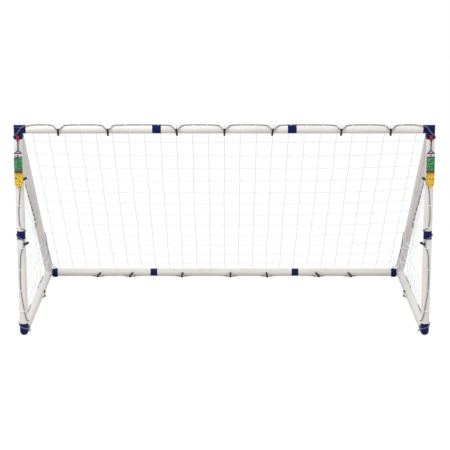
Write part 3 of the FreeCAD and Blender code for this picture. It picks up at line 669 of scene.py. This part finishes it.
def makePrintedCard(ending, side, top):
    # printed and laminated card: grass green over a jagged band and a yellow foot with dark spots
    material, tree, shader = startMaterial("printed_card_" + ending, "2E8A4A", 0.3, 1.5)
    spot = addNode(tree, "ShaderNodeTexCoord").outputs["Object"]
    local = addNode(tree, "ShaderNodeMapping", {"Location": (-side * postX, -postY, -top)}, {"Vector": spot})
    parts = addNode(tree, "ShaderNodeSeparateXYZ", links={"Vector": local.outputs["Vector"]})
    down = addNode(tree, "ShaderNodeMath", {"operation": "MULTIPLY", 1: -1.0}, {0: parts.outputs["Z"]})
    teeth = addNode(tree, "ShaderNodeMath", {"operation": "PINGPONG", 1: tagFacts["zig"] / 2},
                    {0: parts.outputs["X"]})
    ragged = addNode(tree, "ShaderNodeTexNoise", {"Scale": 90, "Detail": 1}, {"Vector": spot})
    jag = addNode(tree, "ShaderNodeMath", {"operation": "MULTIPLY_ADD", 1: 0.02},
                  {0: ragged.outputs["Fac"], 2: teeth.outputs["Value"]})
    lowered = addNode(tree, "ShaderNodeMath", {"operation": "ADD"},
                      {0: down.outputs["Value"], 1: jag.outputs["Value"]})
    share = addNode(tree, "ShaderNodeMath", {"operation": "DIVIDE", 1: tagFacts["cardTall"]},
                    {0: lowered.outputs["Value"]})
    grass = addNode(tree, "ShaderNodeTexVoronoi", {"Scale": 130, "Randomness": 1.0}, {"Vector": spot})
    blades = colourSteps(tree, grass.outputs["Distance"],
                         [(0.1, "C6E6C8"), (0.26, "4AA468"), (0.5, "1F8044"), (0.85, "0C5A2C")])
    bands = colourSteps(tree, share.outputs["Value"],
                        [(0.0, "E6D6DC"), (0.12, "C9A9B4"), (0.15, "6A2436"), (0.175, "2F8F4E"),
                         (0.565, "7A2026"), (0.6, "4A2A18"), (0.64, "C98A22"), (0.69, "E9C22C")], "CONSTANT")
    isGreen = addNode(tree, "ShaderNodeMapRange", {"From Min": 0.175, "From Max": 0.1755},
                      {"Value": share.outputs["Value"]})
    notLow = addNode(tree, "ShaderNodeMapRange",
                     {"From Min": 0.565, "From Max": 0.5655, "To Min": 1.0, "To Max": 0.0},
                     {"Value": share.outputs["Value"]})
    green = addNode(tree, "ShaderNodeMath", {"operation": "MULTIPLY"},
                    {0: isGreen.outputs["Result"], 1: notLow.outputs["Result"]})
    painted = addNode(tree, "ShaderNodeMix", {"data_type": "RGBA"})
    tree.links.new(green.outputs["Value"], painted.inputs["Factor"])
    tree.links.new(bands, painted.inputs[6])
    tree.links.new(blades, painted.inputs[7])
    dots = addNode(tree, "ShaderNodeTexVoronoi", {"Scale": 85, "Randomness": 0.9}, {"Vector": spot})
    dotted = addNode(tree, "ShaderNodeMath", {"operation": "LESS_THAN", 1: 0.28},
                     {0: dots.outputs["Distance"]})
    foot = addNode(tree, "ShaderNodeMath", {"operation": "GREATER_THAN", 1: 0.71},
                   {0: share.outputs["Value"]})
    spots = addNode(tree, "ShaderNodeMath", {"operation": "MULTIPLY"},
                    {0: dotted.outputs["Value"], 1: foot.outputs["Value"]})
    whole = addNode(tree, "ShaderNodeMix", {"data_type": "RGBA"})
    whole.inputs[7].default_value = hexColour("3A3020")
    tree.links.new(spots.outputs["Value"], whole.inputs["Factor"])
    tree.links.new(painted.outputs[2], whole.inputs[6])
    offCentre = addNode(tree, "ShaderNodeMath", {"operation": "ABSOLUTE"}, {0: parts.outputs["X"]})
    middle = addNode(tree, "ShaderNodeMath", {"operation": "LESS_THAN", 1: 0.0025},
                     {0: offCentre.outputs["Value"]})
    head = addNode(tree, "ShaderNodeMath", {"operation": "LESS_THAN", 1: 0.17}, {0: share.outputs["Value"]})
    stripe = addNode(tree, "ShaderNodeMath", {"operation": "MULTIPLY"},
                   {0: middle.outputs["Value"], 1: head.outputs["Value"]})
    striped = addNode(tree, "ShaderNodeMix", {"data_type": "RGBA"})
    striped.inputs[7].default_value = hexColour("1C1C3C")
    tree.links.new(stripe.outputs["Value"], striped.inputs["Factor"])
    tree.links.new(whole.outputs[2], striped.inputs[6])
    tree.links.new(striped.outputs[2], shader.inputs["Base Color"])
    ink = addNode(tree, "ShaderNodeTexNoise", {"Scale": 400, "Detail": 2}, {"Vector": spot})
    roughRange(tree, shader, ink.outputs["Fac"], 0.22, 0.38)
    addBump(tree, shader, ink.outputs["Fac"], 0.00003)
    shader.inputs["Coat Weight"].default_value = 0.5
    return material


def settle(piece, name, finish, body, replaced):
    # place kept in the mesh, then name, finish, smooth shading and body, and the replaced part hidden
    bpy.ops.object.select_all(action="DESELECT")
    piece.select_set(True)
    bpy.context.view_layer.objects.active = piece
    bpy.ops.object.transform_apply(location=True, rotation=True, scale=True)
    piece.name = name
    piece.data.name = name
    piece.data.materials.clear()
    piece.data.materials.append(finish)
    bpy.ops.object.shade_smooth_by_angle(angle=math.radians(35))
    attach(piece, body)
    if replaced:
        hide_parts(replaced)
    return piece


def applyModifier(piece, kind, **settings):
    bpy.context.view_layer.objects.active = piece
    modifier = piece.modifiers.new(kind.title(), kind)
    for name, given in settings.items():
        setattr(modifier, name, given)
    bpy.ops.object.modifier_apply(modifier=modifier.name)


for ending, side in sidePairs:
    body = ending + "_tag"
    cardLow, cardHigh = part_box("tag_card_" + ending)
    middle = (cardLow + cardHigh) / 2

    # card: a grid with a rounded foot and a slight curl
    tall, wide = cardHigh.z - cardLow.z, cardHigh.x - cardLow.x
    bpy.ops.mesh.primitive_grid_add(x_subdivisions=14, y_subdivisions=48, size=1, location=middle,
                                    rotation=(math.pi / 2, 0, 0))
    card = bpy.context.object
    card.scale = (wide, tall, 1)
    bpy.ops.object.transform_apply(location=False, rotation=False, scale=True)
    for vertex in card.data.vertices:
        depth = vertex.co.y + tall / 2  # height over the foot
        corner = 0.375 * wide
        if depth < corner:
            vertex.co.x *= max(0.02, 1 - (1 - depth / corner) ** 2.6) ** 0.5
        bow = math.cos(vertex.co.x / wide * math.pi)
        vertex.co.z += tagFacts["curl"] * (bow - 0.5) * 0.5 * (depth / tall * 0.6 + 0.4)
    bpy.ops.object.transform_apply(location=False, rotation=True, scale=False)
    applyModifier(card, "SOLIDIFY", thickness=tagFacts["cardThick"], offset=0)
    applyModifier(card, "BEVEL", width=0.0003, segments=2, limit_method="ANGLE", angle_limit=math.radians(50))
    settle(card, "printed_card_" + ending, makePrintedCard(ending, side, cardHigh.z), body,
           "tag_card_" + ending)

    # hanger: a triangular rim with a thin web in it
    low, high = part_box("tag_hanger_" + ending)
    wide, tall = high.x - low.x, high.z - low.z
    bpy.ops.mesh.primitive_circle_add(vertices=3, radius=1, fill_type="NGON", location=(low + high) / 2)
    rim = bpy.context.object
    corners = [(0, high.z), (-wide / 2, low.z), (wide / 2, low.z)]
    for vertex, (x, z) in zip(rim.data.vertices, corners):
        vertex.co = (x, 0, z - (low.z + high.z) / 2)
    bpy.ops.object.mode_set(mode="EDIT")
    bpy.ops.mesh.select_all(action="SELECT")
    bpy.ops.mesh.bevel(offset=tagFacts["rimCorner"], segments=4, affect="VERTICES")
    bpy.ops.mesh.select_all(action="SELECT")
    bpy.ops.mesh.inset(thickness=tagFacts["rimWide"], depth=0)
    bpy.ops.object.mode_set(mode="OBJECT")
    bpy.ops.object.mode_set(mode="EDIT")
    bpy.ops.mesh.separate(type="SELECTED")
    bpy.ops.object.mode_set(mode="OBJECT")
    web = [one for one in bpy.context.selected_objects if one is not rim][0]
    applyModifier(rim, "SOLIDIFY", thickness=tagFacts["rimThick"], offset=0)
    applyModifier(rim, "BEVEL", width=tagFacts["hangerRound"], segments=3, limit_method="ANGLE",
                  angle_limit=math.radians(50))
    applyModifier(web, "SOLIDIFY", thickness=tagFacts["webThick"], offset=0)
    settle(rim, "hanger_rim_" + ending, hangerPlastic, body, "tag_hanger_" + ending)
    settle(web, "hanger_web_" + ending, webPlastic, body, None)

    # strap: a narrow tape looped over the pin and down to the hanger
    low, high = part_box("tag_strap_" + ending)
    pin = Vector(((low.x + high.x) / 2, (low.y + high.y) / 2, high.z - tagFacts["pinDrop"]))
    bpy.ops.mesh.primitive_cylinder_add(vertices=28, radius=tagFacts["strapRound"],
                                        depth=tagFacts["strapWide"], end_fill_type="NOTHING",
                                        location=pin, rotation=(0, math.pi / 2, 0))
    strap = bpy.context.object
    bpy.ops.object.transform_apply(location=True, rotation=True, scale=True)
    drop = pin.z - low.z
    for vertex in strap.data.vertices:
        if vertex.co.z < pin.z - 0.0001:
            sink = (pin.z - vertex.co.z) / tagFacts["strapRound"]
            vertex.co.z = pin.z - sink * drop
            vertex.co.y = pin.y + (vertex.co.y - pin.y) * (0.9 if sink < 0.3 else 0.55)
    applyModifier(strap, "SUBSURF", levels=2, render_levels=2)
    applyModifier(strap, "SOLIDIFY", thickness=tagFacts["strapThick"], offset=1)
    settle(strap, "tag_strap_tape_" + ending, strapWeave, body, "tag_strap_" + ending)
print("tags made")

# floor clips: a moulded toggle against the inner side of each floor tube, two lobes and a neck
clipFacts = {"lobe": 0.0068, "neck": 0.0026, "top": 0.0425, "foot": 0.0095, "reach": 0.0046, "grain": 0.0008,
             "squash": (1, 0.8, 0.92)}
for ending, side in sidePairs:
    low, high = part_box("floor_clip_" + ending)
    across = side * (postX - tubeRadius - clipFacts["reach"])
    middle = Vector((across, (low.y + high.y) / 2, 0))
    height = clipFacts["top"] - clipFacts["foot"]
    bpy.ops.mesh.primitive_cylinder_add(vertices=20, radius=clipFacts["neck"], depth=height,
                                        location=middle + up * (clipFacts["top"] + clipFacts["foot"]) / 2)
    toggle = bpy.context.object
    lobes = []
    for level in (clipFacts["top"], clipFacts["foot"]):
        bpy.ops.mesh.primitive_uv_sphere_add(segments=24, ring_count=16, radius=clipFacts["lobe"],
                                             location=middle + up * level, scale=clipFacts["squash"])
        lobes.append(bpy.context.object)
    bpy.ops.object.select_all(action="DESELECT")
    for one in lobes + [toggle]:
        one.select_set(True)
    bpy.context.view_layer.objects.active = toggle
    bpy.ops.object.join()
    applyModifier(toggle, "REMESH", mode="VOXEL", voxel_size=clipFacts["grain"])
    applyModifier(toggle, "SMOOTH", factor=0.5, iterations=4)
    settle(toggle, "floor_toggle_" + ending, clipNylon, "frame", "floor_clip_" + ending)
print("floor clips made")

# camera and light
cameraFacts = {"lens": 124.05, "back": 8.862, "height": 2.774, "pitch": 13.295, "acrossTurn": -0.022}
bpy.ops.object.camera_add(
    location=(0, postY - cameraFacts["back"], cameraFacts["height"]),
    rotation=(math.radians(90 - cameraFacts["pitch"]), 0, math.radians(cameraFacts["acrossTurn"])))
camera = bpy.context.object
camera.data.lens = cameraFacts["lens"]
camera.data.sensor_width = 36
bpy.context.scene.camera = camera

studio = {"floor": "5A5A5A", "floorGlow": 0.93, "floorShade": "CECACA", "floorSize": 120, "sky": 1.0,
          "skyLight": 0.62, "keyPower": 200, "keySize": 2.2, "fillPower": 60}


def makeFloorPaint():
    # matt white studio floor, seen white but throwing back less light than it shows
    material, tree, shader = startMaterial("white_studio_floor", studio["floor"], 0.9, 1.4)
    shader.inputs["Specular IOR Level"].default_value = 0.1
    shader.inputs["Emission Color"].default_value = (1, 1, 1, 1)
    shader.inputs["Emission Strength"].default_value = studio["floorGlow"]
    bounce = addNode(tree, "ShaderNodeBsdfDiffuse", {"Color": hexColour(studio["floorShade"])})
    seen = addNode(tree, "ShaderNodeLightPath")
    chosen = addNode(tree, "ShaderNodeMixShader",
                     links={0: seen.outputs["Is Camera Ray"], 1: bounce.outputs["BSDF"],
                            2: shader.outputs["BSDF"]})
    tree.links.new(chosen.outputs["Shader"], tree.nodes["Material Output"].inputs["Surface"])
    return material


bpy.ops.mesh.primitive_plane_add(size=studio["floorSize"], location=(0, 0, -0.0005))
floor = bpy.context.object
floor.name = "studio_floor"
floor.data.materials.append(makeFloorPaint())

world = bpy.data.worlds.new("studio")
bpy.context.scene.world = world
world.use_nodes = True
tree = world.node_tree
sky = tree.nodes["Background"]
sky.inputs["Strength"].default_value = studio["skyLight"]
white = addNode(tree, "ShaderNodeBackground", {"Color": (1, 1, 1, 1), "Strength": studio["sky"]})
seen = addNode(tree, "ShaderNodeLightPath")
chosen = addNode(tree, "ShaderNodeMixShader",
                 links={0: seen.outputs["Is Camera Ray"], 1: sky.outputs["Background"],
                        2: white.outputs["Background"]})
tree.links.new(chosen.outputs["Shader"], tree.nodes["World Output"].inputs["Surface"])
sky.inputs["Color"].default_value = (1, 1, 1, 1)

for name, power, size, spot in (("key", studio["keyPower"], studio["keySize"], (-3.2, -3.6, 5.4)),
                                ("fill", studio["fillPower"], 4.0, (4.5, -2.0, 3.0))):
    bpy.ops.object.light_add(type="AREA", location=spot)
    lamp = bpy.context.object
    lamp.name = name + "_light"
    lamp.data.energy = power
    lamp.data.size = size
    lamp.rotation_euler = (Vector((0, 0, 0.6)) - Vector(spot)).to_track_quat("-Z", "Y").to_euler()

bpy.context.scene.view_settings.view_transform = "Standard"
